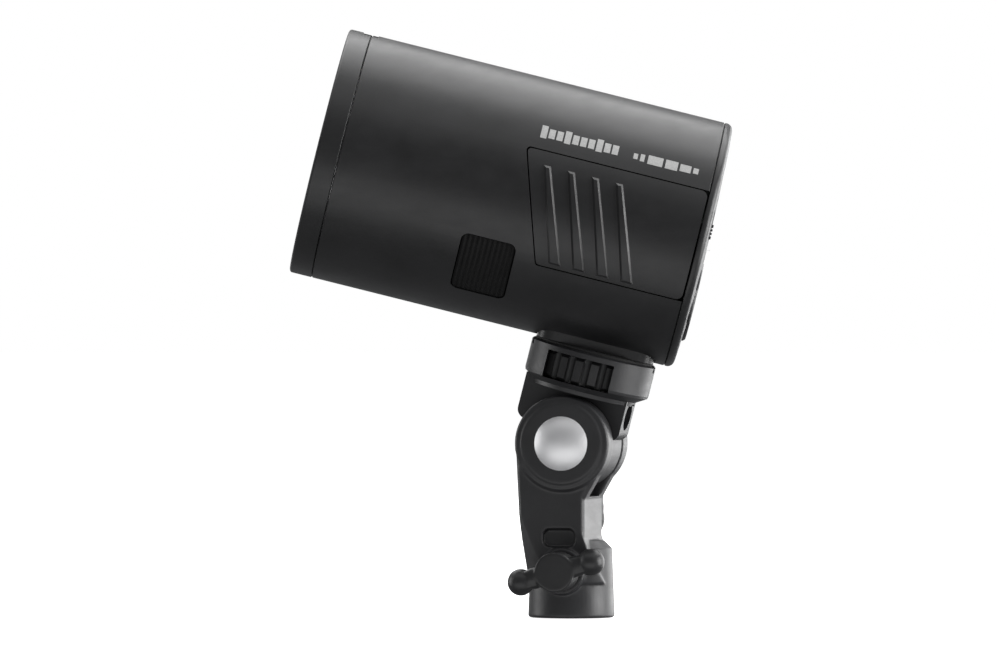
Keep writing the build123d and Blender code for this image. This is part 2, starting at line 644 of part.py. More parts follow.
def right_shell():
    half = one(casing_with_foot_seat() & slab(-10, COVER_SEAM, 0, 60, -60, 60))
    half += capacitor_ribs()
    for s, z in boss_places():
        post = rod_y(BOSS_POST, 0, 25, s, z) & rod_x(INNER + 0.5, 0, COVER_SEAM)
        half = half + post - rod_y(CASE_SCREW + 0.2, -1, 15, s, z) - rod_y(CASE_SCREW + 1.4, 14, 60, s, z)
    grow = PORT_GAP
    half -= sheet_xz(rounded_xz(PORT_FRONT - grow, PORT_FRONT + PORT_LENGTH + grow,
                                -PORT_HEIGHT / 2 - grow, PORT_HEIGHT / 2 + grow, 2.0), 20, 60)
    return one(cut_notch(half))


def casing_screws():
    """Screws that join the two casing halves, then those that hold the foot plate."""
    screws = []
    for s, z in boss_places():
        screws.append(one(rod_y(CASE_SCREW, -8.5, 14.1, s, z) + rod_y(CASE_SCREW + 1.1, 14, 15.8, s, z)
                          - slab(s - 1.2, s + 1.2, 15.0, 17, z - 0.3, z + 0.3)
                          - slab(s - 0.3, s + 0.3, 15.0, 17, z - 1.2, z + 1.2)))
    head = -HEAD_RADIUS + 0.3
    for x, y in foot_screw_places():
        screws.append(one(rod_z(CASE_SCREW, head, head + 4.9, x, y)
                          + rod_z(CASE_SCREW + 1.1, head, head + 1.3, x, y)))
    return Compound(children=screws)


def foot_plate():
    seat = FOOT_THICK - HEAD_RADIUS
    flat = foot_box(0, -HEAD_RADIUS, seat)
    wings = foot_box(0, seat - 0.01, seat + 1.4) - rod_x(HEAD_RADIUS, 0, HEAD_LENGTH)
    plate = flat + wings
    plate -= rod_z(INSERT_RADIUS, -HEAD_RADIUS - 5, 0, SCREW_FROM_FRONT)
    for x, y in foot_screw_places():
        plate -= rod_z(CASE_SCREW, -HEAD_RADIUS - 5, 0, x, y)
        plate -= rod_z(CASE_SCREW + 1.2, -HEAD_RADIUS - 5, -HEAD_RADIUS + 1.6, x, y)
    return one(plate)


def thread_insert():
    base = -HEAD_RADIUS
    insert = rod_z(INSERT_RADIUS, base, base + INSERT_DEEP, SCREW_FROM_FRONT)
    return insert - rod_z(STUD_RADIUS + RUN, base - 1, base + INSERT_DEEP - 1.5, SCREW_FROM_FRONT)


# ---------------------------------------------------------------- inside the head
def flash_capacitor():
    can = rod_x(CAPACITOR_RADIUS, *CAPACITOR_ENDS, *CAPACITOR_PLACE)
    return chamfer(can.edges().filter_by(GeomType.CIRCLE), 1.0)


def main_board():
    return slab(MAIN_FRONT, BOARD_FACE - BOARD_THICK - 0.2, *MAIN_ACROSS, MAIN_TOP - BOARD_THICK, MAIN_TOP)


def power_inductor():
    core = rod_z(INDUCTOR_RADIUS, MAIN_TOP, MAIN_TOP + INDUCTOR_TALL, *INDUCTOR_PLACE)
    return chamfer(core.edges().filter_by(GeomType.CIRCLE).sort_by(Axis.Z)[-1], 1.0)


def trigger_transformer():
    core = slab(*TRANSFORMER_ALONG, *TRANSFORMER_ACROSS, MAIN_TOP, MAIN_TOP + TRANSFORMER_TALL)
    return fillet(core.edges().filter_by(Axis.Z), 1.5)


def radio_module():
    return slab(*RADIO_ALONG, *RADIO_ACROSS, MAIN_TOP, MAIN_TOP + RADIO_TALL)


def control_board():
    disc = rod_x(BOARD_RADIUS, BOARD_FACE - BOARD_THICK, BOARD_FACE)
    return disc - slab(0, HEAD_LENGTH, -60, 60, -60, MAIN_TOP - 3.6)


def display_module():
    return rounded_pad_x(0, SHOW_CENTRE, SHOW_WIDTH - 0.4, SHOW_HEIGHT - 0.4, 2.9,
                         BOARD_FACE, COVER_SEAM + 0.9)


def display_window():
    return rounded_pad_x(0, SHOW_CENTRE, SHOW_WIDTH, SHOW_HEIGHT, 3.0, COVER_SEAM + 1.0, HEAD_LENGTH - 1.2)


def dial_encoder():
    ring = rod_x(6.3, BOARD_FACE, BOARD_FACE + ENCODER_TALL, 0, DIAL_CENTRE)
    return ring - rod_x(3.2, 0, HEAD_LENGTH, 0, DIAL_CENTRE)


def usb_socket():
    shell = sheet_xz(rounded_xz(83, 92, -4.9, -1.6, 1.6), PORT_BOARD_FACE, PORT_BOARD_FACE + 7.2)
    mouth = sheet_xz(rounded_xz(83.4, 91.6, -4.5, -2.0, 1.2), PORT_BOARD_FACE + 1, PORT_BOARD_FACE + 8)
    tongue = slab(84.4, 90.6, PORT_BOARD_FACE, PORT_BOARD_FACE + 6.4, -3.6, -2.9)
    return one(shell - mouth + tongue)


def sync_jack():
    body = slab(92.6, 97.4, PORT_BOARD_FACE, PORT_BOARD_FACE + 6.0, -5.6, -0.8)
    collar = rod_y(2.2, PORT_BOARD_FACE + 5, PORT_BOARD_FACE + 7.2, 95, -3.2)
    return one(body + collar - rod_y(1.3, PORT_BOARD_FACE + 1, PORT_BOARD_FACE + 9, 95, -3.2))


def port_board():
    return slab(79, 99, PORT_BOARD_FACE - 1.4, PORT_BOARD_FACE, -9, 0)


def port_cover():
    """Soft flap flush with the casing, turning on a round bead at its front edge."""
    outline = rounded_xz(PORT_FRONT, PORT_FRONT + PORT_LENGTH,
                         -PORT_HEIGHT / 2, PORT_HEIGHT / 2, 1.7)
    flap = sheet_xz(outline, HEAD_RADIUS - 8, 60) & rod_x(HEAD_RADIUS, 0, HEAD_LENGTH)
    flap -= rod_x(HEAD_RADIUS - PORT_THICK, 0, HEAD_LENGTH)
    hinge = PORT_FRONT + PORT_HINGE
    flap -= slab(PORT_FRONT - 1, hinge, 0, 60, -PORT_HEIGHT, PORT_HEIGHT)
    half = PORT_HEIGHT / 2 - 1
    return one(flap + rod_z(PORT_HINGE, -half, half, hinge, HEAD_RADIUS))


# ---------------------------------------------------------------- battery
def battery_bay():
    """Moulded tray behind the battery, open toward the near side."""
    wall = BAY_WALL
    rear = PACK_BLOCK_REAR + PACK_GAP
    floor = PACK_DEPTH - PACK_GAP
    front, rear_end = CONTACT_ALONG
    outer = sheet_xz(pack_outline(PACK_GAP + wall, rear + wall, 2.0), 5 - HEAD_RADIUS, -floor + wall)
    inner = sheet_xz(pack_outline(PACK_GAP, rear, 1.0), -60, -floor)
    tray = outer - inner
    tray = tray & rod_x(HEAD_RADIUS - max(PACK_SKIN, WALL) - PACK_GAP, 0, HEAD_LENGTH)
    for z in contact_heights():
        tray -= slab(front + 1, rear_end - 1, -floor - 1, -floor + 3, z - 1.2, z + 1.2)
    return one(tray)


def contact_heights():
    return [-CONTACT_PITCH, 0, CONTACT_PITCH]


def bay_terminals():
    floor = PACK_DEPTH - PACK_GAP
    front, rear = CONTACT_ALONG
    return Compound(children=[
        one(slab(front + 1, rear - 1, -PACK_DEPTH + RUN, -floor + 2.2, z - 1.2, z + 1.2))
        for z in contact_heights()])


def battery_contacts():
    return Compound(children=[
        one(slab(*CONTACT_ALONG, -PACK_DEPTH - PACK_WALL, -PACK_DEPTH, z - 1.6, z + 1.6))
        for z in contact_heights()])


def grip_ribs():
    """Leaning wedges that widen downward and stand just proud of the battery's face."""
    lean = tan(radians(LEAN))
    drop = RIB_TOP - RIB_BOTTOM
    proud = rod_x(HEAD_RADIUS + RIB_RISE, 0, HEAD_LENGTH)
    ribs = []
    for index in range(RIB_COUNT):
        top = RIB_FIRST + index * RIB_PITCH
        foot = top + drop * lean
        wedge = make_face(Polyline((top - 1.1, 0, RIB_TOP), (top + 1.1, 0, RIB_TOP),
                                   (foot + 1.9, 0, RIB_BOTTOM), (foot - 1.9, 0, RIB_BOTTOM), close=True))
        rib = one(sheet_xz(wedge, -60, -30) & proud)
        crest = rib.faces().filter_by(GeomType.CYLINDER).sort_by(Axis.Y)[0]
        ribs.append(chamfer(crest.edges(), RIB_SLOPE))
    return ribs


def battery_case():
    can = rod_x(HEAD_RADIUS, 0, PACK_REAR)
    skin = sheet_xz(pack_outline(0, PACK_REAR, 2.0), -60, -20) & can
    skin -= rod_x(HEAD_RADIUS - PACK_SKIN, 0, HEAD_LENGTH)
    deep = sheet_xz(pack_outline(-0.05, PACK_BLOCK_REAR, 1.0), -HEAD_RADIUS + 2, -PACK_DEPTH) & can
    case = skin + deep
    for rib in grip_ribs():
        case += rib
    hollow = sheet_xz(pack_outline(-PACK_WALL, PACK_BLOCK_REAR - PACK_WALL, 0.6),
                      6.5 - HEAD_RADIUS, -PACK_DEPTH - PACK_WALL)
    case -= hollow
    for z in contact_heights():
        case -= slab(*CONTACT_ALONG, -PACK_DEPTH - PACK_WALL - 0.5, 0, z - 1.6, z + 1.6)
    return one(case)


def battery_cells():
    """Two flat lithium cells side by side."""
    cells = []
    front = PACK_FRONT + 12.2
    for face in (6.6 - HEAD_RADIUS, 6.8 - HEAD_RADIUS + CELL_THICK):
        cell = slab(front, PACK_BLOCK_REAR - PACK_WALL - 0.2, face, face + CELL_THICK,
                    PACK_BOTTOM + 2.2, PACK_TOP - 1.9)
        cells.append(one(fillet(cell.edges().filter_by(Axis.X), 2.0)))
    return Compound(children=cells)


# ---------------------------------------------------------------- release button
def release_prism(grow, y0, y1):
    """The button's outline pushed along its own travel, square to the casing's skin."""
    end = RELEASE_FRONT + RELEASE_LENGTH
    half = RELEASE_WIDTH / 2 + grow
    outline = rounded_xz(RELEASE_FRONT - grow, end + grow, -half, half, 2.0 + grow)
    return Rotation(RELEASE_ANGLE, 0, 0) * sheet_xz(outline, y0, y1)


def release_button():
    inner = HEAD_RADIUS - RELEASE_THICK
    cap = release_prism(0, -HEAD_RADIUS - 3, -inner + 0.6) & rod_x(HEAD_RADIUS - RELEASE_INSET, 40, 70)
    flange = release_prism(1.1, -inner + 0.5, -inner + RELEASE_FLANGE)
    return one(cap + flange)


def release_bracket():
    """Bridge inside the left shell that backs the button's spring."""
    back = RELEASE_BACK - HEAD_RADIUS
    front, rear = RELEASE_FRONT + 1.3, RELEASE_FRONT + RELEASE_LENGTH - 1.9
    wide = RELEASE_WIDTH / 2 + 3.8
    bridge = slab(front, rear, back, back + 1.6, -wide, wide)
    for side in (-1, 1):
        ends = sorted((side * (wide - 1.5), side * wide))
        bridge += slab(front, rear, 3.5 - HEAD_RADIUS, back + 1.6, *ends)
    bridge &= Rotation(-RELEASE_ANGLE, 0, 0) * rod_x(INNER + 0.4, front, rear)
    return Rotation(RELEASE_ANGLE, 0, 0) * bridge


def release_spring():
    """Compression spring between the button's flange and the bridge."""
    top = -HEAD_RADIUS + RELEASE_THICK + RELEASE_FLANGE
    length = RELEASE_BACK - HEAD_RADIUS - top
    wire = 0.45
    path = Helix(pitch=(length - 2 * wire) / 4, height=length - 2 * wire, radius=3.0)
    circle = Plane(origin=path @ 0, z_dir=path % 0) * Circle(wire)
    coil = sweep(circle, path=path, is_frenet=True)
    middle = RELEASE_FRONT + RELEASE_LENGTH / 2
    place = Location((middle, top + wire, 0)) * Rotation(-90, 0, 0)
    return Rotation(RELEASE_ANGLE, 0, 0) * (place * coil)


# ---------------------------------------------------------------- rear controls
def rear_cover():
    start = COVER_SEAM + SEAM_GAP / 2
    edge = HEAD_RADIUS - 2
    dome = ThreePointArc((HEAD_LENGTH, 0, 0), (HEAD_LENGTH - 0.33, 0, edge / 2), (HEAD_LENGTH - 1.3, 0, edge))
    shoulder = ThreePointArc((HEAD_LENGTH - 1.3, 0, edge), (HEAD_LENGTH - 1.9, 0, edge + 1.4),
                             (HEAD_LENGTH - 3.2, 0, HEAD_RADIUS))
    lip = INNER - 0.2
    rest = Polyline(
        (HEAD_LENGTH - 3.2, 0, HEAD_RADIUS), (start + SEAM_BEVEL, 0, HEAD_RADIUS),
        (start, 0, HEAD_RADIUS - SEAM_BEVEL), (start, 0, lip), (start - COVER_LIP, 0, lip),
        (start - COVER_LIP, 0, lip - 1.5), (start, 0, lip - 1.5), (start, 0, 0), (HEAD_LENGTH, 0, 0))
    cover = revolve(make_face(dome.edges() + shoulder.edges() + rest.edges()), Axis.X, 360)
    cover -= slab(start - 6, start, -60, 0, PACK_BOTTOM - 2.4, PACK_TOP + 2.4)
    cover += rod_x(DIAL_RADIUS + 1.8, start - 1.6, start + 1, 0, DIAL_CENTRE)
    cover -= rod_x(DIAL_RADIUS + 0.4, start - 0.6, HEAD_LENGTH + 5, 0, DIAL_CENTRE)
    cover -= rod_x(8.6, start - 5, HEAD_LENGTH, 0, DIAL_CENTRE)
    cover -= rounded_pad_x(0, SHOW_CENTRE, SHOW_WIDTH, SHOW_HEIGHT, 3.0, start - 5, HEAD_LENGTH + 5)
    for y, z in KEYS.values():
        cover -= rod_x(KEY_RADIUS + KEY_GAP, start - 5, HEAD_LENGTH + 5, y, z)
    slot_low = SWITCH_LOW - 0.3
    slot_high = SWITCH_LOW + SWITCH_KNOB + SWITCH_TRAVEL + 0.3
    half = SWITCH_WIDTH / 2 + 0.25
    cover -= slab(start - 5, HEAD_LENGTH + 5, SWITCH_ACROSS - half, SWITCH_ACROSS + half, slot_low, slot_high)
    return one(cover)


def control_dial():
    low = COVER_SEAM + SEAM_GAP / 2 - 0.3
    dial = turned([(low, 6.5), (low, DIAL_RADIUS), (HEAD_LENGTH - 0.3, DIAL_RADIUS),
                   (HEAD_LENGTH + 0.3, DIAL_RADIUS - 0.6), (HEAD_LENGTH + 0.3, 7.2),
                   (HEAD_LENGTH - 0.2, 6.5)])
    dial += turned([(BOARD_FACE + 0.6, 6.5), (BOARD_FACE + 0.6, 8.2), (low + 0.1, 8.2), (low + 0.1, 6.5)])
    for index in range(36):
        groove = rod_x(0.35, low - 1, HEAD_LENGTH + 1, 0, DIAL_RADIUS + 0.1)
        dial -= Rotation(index * 10, 0, 0) * groove
    return Location((0, 0, DIAL_CENTRE)) * one(dial)


def set_button():
    cap = turned([(COVER_SEAM - 0.6, 0), (COVER_SEAM - 0.6, 6.2), (HEAD_LENGTH - 0.4, 6.2),
                  (HEAD_LENGTH, 5.8), (HEAD_LENGTH, 0)])
    stem = rod_x(2.6, BOARD_FACE + 1.0, COVER_SEAM, 0, 0)
    return Location((0, 0, DIAL_CENTRE)) * one(cap + stem)


def key(across, above):
    start = COVER_SEAM + SEAM_GAP / 2
    cap = turned([(start - 1.2, 0), (start - 1.2, KEY_RADIUS), (HEAD_LENGTH - 0.3, KEY_RADIUS),
                  (HEAD_LENGTH, KEY_RADIUS - 0.4), (HEAD_LENGTH, 0)])
    flange = rod_x(KEY_RADIUS + 0.7, start - 1.2, start - 0.2)
    stem = rod_x(1.5, BOARD_FACE + 1.2, start - 1.1)
    return Location((0, across, above)) * one(cap + flange + stem)


def key_switches():
    """Dome switches on the control board, one under each key."""
    return Compound(children=[one(rod_x(2.4, BOARD_FACE, BOARD_FACE + 0.5, y, z)) for y, z in KEYS.values()])


def power_switch():
    start = COVER_SEAM + SEAM_GAP / 2
    half = SWITCH_WIDTH / 2
    knob = slab(start - 1.2, HEAD_LENGTH - 0.3, SWITCH_ACROSS - half, SWITCH_ACROSS + half,
                SWITCH_LOW, SWITCH_LOW + SWITCH_KNOB)
    base = slab(start - 1.4, start - 0.25, SWITCH_ACROSS - half - 1, SWITCH_ACROSS + half + 1,
                SWITCH_LOW - 1, SWITCH_LOW + SWITCH_KNOB + 1)
    knob = knob + base
    for z in (1.1, 2.2, 3.3):
        groove_low = SWITCH_LOW + z - 0.25
        knob -= slab(HEAD_LENGTH - 0.8, HEAD_LENGTH, SWITCH_ACROSS - half - 1, SWITCH_ACROSS + half + 1,
                     groove_low, groove_low + 0.5)
    return one(knob)


# ---------------------------------------------------------------- the files
ROW_PARTS = [stand_socket_arm, stand_lock_insert, stand_lock_screw, stand_lock_knob,
             pivot_bolt, tilt_washers, tilt_lever, tilt_lever_nut]
BRACKET_PARTS = [tilt_block, pivot_bush, umbrella_lock_screw, umbrella_lock_knob,
                 platform_plate, platform_pad, thumbwheel, mounting_stud]
HEAD_PARTS = [front_bezel, accessory_magnets, front_lens, lens_gasket, reflector, flash_tube,
              tube_holder, lamp_board, modelling_lamps, left_shell, right_shell, casing_screws,
              foot_plate, thread_insert, flash_capacitor, main_board,
              power_inductor, trigger_transformer, radio_module, control_board,
              display_module, display_window, dial_encoder, usb_socket, sync_jack, port_board,
              port_cover, battery_bay, bay_terminals, battery_contacts, battery_case,
              battery_cells, release_button, release_spring, rear_cover, control_dial,
              set_button, key_switches, power_switch]


def main():
    os.makedirs("parts", exist_ok=True)
    for place, makers in ((Location(), ROW_PARTS), (BRACKET, BRACKET_PARTS), (HEAD, HEAD_PARTS)):
        for maker in makers:
            save(maker.__name__, maker(), place)
    for name, (across, above) in KEYS.items():
        save(name, key(across, above), HEAD)


main()
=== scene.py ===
import json
import math

import bpy
from mathutils import Matrix, Vector


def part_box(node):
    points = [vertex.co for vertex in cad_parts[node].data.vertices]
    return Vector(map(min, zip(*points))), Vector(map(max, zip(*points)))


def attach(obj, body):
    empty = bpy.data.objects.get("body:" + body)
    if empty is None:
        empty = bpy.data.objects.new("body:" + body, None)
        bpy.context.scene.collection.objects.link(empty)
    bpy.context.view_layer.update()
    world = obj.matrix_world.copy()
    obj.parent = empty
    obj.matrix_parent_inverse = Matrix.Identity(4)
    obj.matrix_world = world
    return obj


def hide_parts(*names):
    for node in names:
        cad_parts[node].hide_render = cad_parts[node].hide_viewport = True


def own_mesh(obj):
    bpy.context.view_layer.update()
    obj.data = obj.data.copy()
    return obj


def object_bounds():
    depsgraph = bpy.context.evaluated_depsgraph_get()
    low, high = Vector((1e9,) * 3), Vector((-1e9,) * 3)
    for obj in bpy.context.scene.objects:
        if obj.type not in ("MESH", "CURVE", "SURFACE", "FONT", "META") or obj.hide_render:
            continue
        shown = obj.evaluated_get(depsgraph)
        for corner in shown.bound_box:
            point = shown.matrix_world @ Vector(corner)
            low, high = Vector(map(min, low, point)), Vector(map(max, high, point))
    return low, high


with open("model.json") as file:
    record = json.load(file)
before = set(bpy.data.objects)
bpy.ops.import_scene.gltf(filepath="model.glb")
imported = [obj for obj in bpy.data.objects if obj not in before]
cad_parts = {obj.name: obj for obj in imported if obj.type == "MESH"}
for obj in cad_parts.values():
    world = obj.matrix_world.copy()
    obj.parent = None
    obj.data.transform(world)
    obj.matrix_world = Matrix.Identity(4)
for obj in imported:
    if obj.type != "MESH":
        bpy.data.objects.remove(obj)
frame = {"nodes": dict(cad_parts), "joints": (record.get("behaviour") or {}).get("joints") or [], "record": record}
cad_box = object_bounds()
nodes = frame["nodes"]
joints = {joint["name"]: joint for joint in frame["joints"]}

MM = 0.001

# ---------------------------------------------------------------- places read from the frame
HEAD_RADIUS = 38 * MM
HEAD_LENGTH = 121.3 * MM
LOCK_BOSS = 7.1 * MM                # radius of the boss round the stand lock screw, with room
RIM_MOUNT_ABOVE = 34.5 * MM         # the front rim's mount above the head's axis
mounts = {mount["name"]: mount for mount in frame["record"]["mounts"]}
pivot = Vector(joints["head_tilt"]["pos_m"])


def frame_matrix(origin, along_x, along_z):
    """A frame with its X and Z directions given, as a 4x4 matrix."""
    x, z = Vector(along_x).normalized(), Vector(along_z).normalized()
    turn = Matrix((x, z.cross(x), z)).transposed()
    return Matrix.Translation(origin) @ turn.to_4x4()


screw_axis = Vector(joints["head_swivel"]["axis"])
rear_axis = -Vector(joints["dial_turn"]["axis"])
tilt_axis = Vector(joints["head_tilt"]["axis"])
rim_centre = Vector(mounts["front_rim"]["pos_m"]) - RIM_MOUNT_ABOVE * screw_axis
HEAD = frame_matrix(rim_centre, rear_axis, screw_axis)


# ---------------------------------------------------------------- material nodes
def new_material(name):
    """A material with its node tree and its shader."""
    material = bpy.data.materials.new(name)
    material.use_nodes = True
    tree = material.node_tree
    shader = tree.nodes["Principled BSDF"]
    return material, tree, shader


def object_noise(tree, scale, detail=3.0, roughness=0.5, stretch=(1, 1, 1)):
    """Noise on Object coordinates; scale is in waves a metre."""
    coordinates = tree.nodes.new("ShaderNodeTexCoord")
    mapping = tree.nodes.new("ShaderNodeMapping")
    mapping.inputs["Scale"].default_value = stretch
    noise = tree.nodes.new("ShaderNodeTexNoise")
    noise.inputs["Scale"].default_value = scale
    noise.inputs["Detail"].default_value = detail
    noise.inputs["Roughness"].default_value = roughness
    tree.links.new(coordinates.outputs["Object"], mapping.inputs["Vector"])
    tree.links.new(mapping.outputs["Vector"], noise.inputs["Vector"])
    return noise.outputs["Fac"]


def spread(tree, value, low, high, start=0.3, end=0.7):
    """Map a texture's middle range onto low to high."""
    ramp = tree.nodes.new("ShaderNodeMapRange")
    ramp.inputs["From Min"].default_value = start
    ramp.inputs["From Max"].default_value = end
    ramp.inputs["To Min"].default_value = low
    ramp.inputs["To Max"].default_value = high
    tree.links.new(value, ramp.inputs["Value"])
    return ramp.outputs["Result"]


def two_tone(tree, value, dark, light):
    """Colour between dark and light by a texture's value."""
    mix = tree.nodes.new("ShaderNodeValToRGB")
    mix.color_ramp.elements[0].position = 0.3
    mix.color_ramp.elements[0].color = (*dark, 1)
    mix.color_ramp.elements[1].position = 0.7
    mix.color_ramp.elements[1].color = (*light, 1)
    tree.links.new(value, mix.inputs["Fac"])
    return mix.outputs["Color"]


def coloured(tree, shader, value, dark, light):
    """Base colour between dark and light by a texture's value."""
    tree.links.new(two_tone(tree, value, dark, light), shader.inputs["Base Color"])


def roughened(tree, shader, value, low, high):
    """Roughness between low and high by a texture's value."""
    tree.links.new(spread(tree, value, low, high), shader.inputs["Roughness"])


def bumped(tree, shader, height, distance, strength=1.0):
    """Relief of this depth, in metres, on the shader's normal."""
    bump = tree.nodes.new("ShaderNodeBump")
    bump.inputs["Distance"].default_value = distance
    bump.inputs["Strength"].default_value = strength
    tree.links.new(height, bump.inputs["Height"])
    tree.links.new(bump.outputs["Normal"], shader.inputs["Normal"])
    return bump


def moulded_plastic(name, dark, light, rough, grain_scale, grain_depth):
    """Moulded plastic with an eroded-tool grain and faint handling marks."""
    material, tree, shader = new_material(name)
    clouds = object_noise(tree, 55, 4, 0.6)
    coloured(tree, shader, clouds, dark, light)
    smears = object_noise(tree, 120, 5, 0.65, (1, 0.4, 2.2))
    roughened(tree, shader, smears, rough - 0.05, rough + 0.06)
    grain = object_noise(tree, grain_scale, 2, 0.55)
    bumped(tree, shader, grain, grain_depth)
    shader.inputs["IOR"].default_value = 1.49
    return material


def turned_metal(name, dark, light, rough, stretch, scale=900, depth=0.00001):
    """Metal with fine tool lines along the short direction of stretch."""
    material, tree, shader = new_material(name)
    shader.inputs["Metallic"].default_value = 1.0
    lines = object_noise(tree, scale, 4, 0.6, stretch)
    coloured(tree, shader, lines, dark, light)
    roughened(tree, shader, lines, rough - 0.06, rough + 0.08)
    bumped(tree, shader, lines, depth, 0.6)
    return material


def spun_metal(name, centre, axis, dark, light, rough):
    """Metal turned on a lathe: fine rings about an axis through centre."""
    material, tree, shader = new_material(name)
    shader.inputs["Metallic"].default_value = 1.0
    coordinates = tree.nodes.new("ShaderNodeTexCoord")
    mapping = tree.nodes.new("ShaderNodeMapping")
    turn = Vector(axis).to_track_quat("Z", "Y").inverted()
    mapping.inputs["Rotation"].default_value = turn.to_euler()
    mapping.inputs["Location"].default_value = -(turn @ Vector(centre))
    wave = tree.nodes.new("ShaderNodeTexWave")
    wave.wave_type = "RINGS"
    wave.rings_direction = "Z"
    wave.inputs["Scale"].default_value = 900
    wave.inputs["Distortion"].default_value = 0.6
    wave.inputs["Detail"].default_value = 3
    tree.links.new(coordinates.outputs["Object"], mapping.inputs["Vector"])
    tree.links.new(mapping.outputs["Vector"], wave.inputs["Vector"])
    coloured(tree, shader, wave.outputs["Fac"], dark, light)
    roughened(tree, shader, wave.outputs["Fac"], rough - 0.04, rough + 0.06)
    bumped(tree, shader, wave.outputs["Fac"], 0.000008, 0.5)
    return material


def soft_rubber(name, dark, light, rough=0.72):
    """Matt rubber with a fine skin."""
    material, tree, shader = new_material(name)
    clouds = object_noise(tree, 90, 4, 0.6)
    coloured(tree, shader, clouds, dark, light)
    roughened(tree, shader, clouds, rough - 0.05, rough + 0.08)
    bumped(tree, shader, object_noise(tree, 5200, 2, 0.6), 0.00002)
    shader.inputs["Specular IOR Level"].default_value = 0.35
    return material


def ribbed_rubber(name, dark, light, pitch):
    """Soft pad with fine ribs across the head's length; the rib troughs are painted darker and the crests lighter,
    as painted shade.
    """
    material, tree, shader = new_material(name)
    coordinates = tree.nodes.new("ShaderNodeTexCoord")
    mapping = tree.nodes.new("ShaderNodeMapping")
    mapping.inputs["Rotation"].default_value = HEAD.to_3x3().inverted().to_euler()
    tree.links.new(coordinates.outputs["Object"], mapping.inputs["Vector"])
    wave = tree.nodes.new("ShaderNodeTexWave")
    wave.bands_direction = "X"
    wave.inputs["Scale"].default_value = 0.314 / pitch
    tree.links.new(mapping.outputs["Vector"], wave.inputs["Vector"])
    # painted shade: the colour follows the rib relief, darker in the troughs and lighter on the crests
    coloured(tree, shader, wave.outputs["Fac"], dark, light)
    roughened(tree, shader, object_noise(tree, 300, 3, 0.6), 0.72, 0.85)
    bumped(tree, shader, wave.outputs["Fac"], 0.00035)
    shader.inputs["Specular IOR Level"].default_value = 0.25
    return material


def glossy_plastic(name, dark, light, rough, coat=0.0):
    """Smooth plastic or film with faint handling marks."""
    material, tree, shader = new_material(name)
    clouds = object_noise(tree, 70, 3, 0.5)
    coloured(tree, shader, clouds, dark, light)
    roughened(tree, shader, object_noise(tree, 240, 4, 0.6), rough, rough + 0.05)
    bumped(tree, shader, object_noise(tree, 900, 2, 0.5), 0.000006)
    shader.inputs["Coat Weight"].default_value = coat
    return material


def frosted_lens(name):
    """Clear moulded cover whose back is frosted, with a fine pyramid pattern."""
    material, tree, shader = new_material(name)
    clouds = object_noise(tree, 60, 2, 0.5)
    coloured(tree, shader, clouds, (0.9, 0.91, 0.9), (0.97, 0.97, 0.95))
    roughened(tree, shader, clouds, 0.12, 0.2)
    bumped(tree, shader, object_noise(tree, 3000, 2, 0.5), 0.00003)
    shader.inputs["Transmission Weight"].default_value = 0.85
    shader.inputs["IOR"].default_value = 1.45
    return material


def quartz(name):
    """Clear quartz glass."""
    material, tree, shader = new_material(name)
    clouds = object_noise(tree, 150, 2, 0.5)
    coloured(tree, shader, clouds, (0.93, 0.94, 0.95), (0.99, 0.98, 0.95))
    roughened(tree, shader, clouds, 0.02, 0.06)
    shader.inputs["Transmission Weight"].default_value = 0.9
    shader.inputs["IOR"].default_value = 1.46
    return material


def circuit_board(name):
    """Solder-masked board with a faint copper pour under the mask."""
    material, tree, shader = new_material(name)
    coordinates = tree.nodes.new("ShaderNodeTexCoord")
    cells = tree.nodes.new("ShaderNodeTexVoronoi")
    cells.distance = "MANHATTAN"
    cells.inputs["Scale"].default_value = 260
    tree.links.new(coordinates.outputs["Object"], cells.inputs["Vector"])
    coloured(tree, shader, cells.outputs["Distance"], (0.008, 0.09, 0.03), (0.02, 0.2, 0.08))
    roughened(tree, shader, cells.outputs["Distance"], 0.25, 0.4)
    bumped(tree, shader, cells.outputs["Distance"], 0.00004)
    return material


def paint_print(name):
    """Screen-printed grey ink, slightly uneven."""
    material, tree, shader = new_material(name)
    patches = object_noise(tree, 2600, 3, 0.6)
    coloured(tree, shader, patches, (0.36, 0.36, 0.36), (0.5, 0.5, 0.49))
    roughened(tree, shader, patches, 0.45, 0.6)
    return material


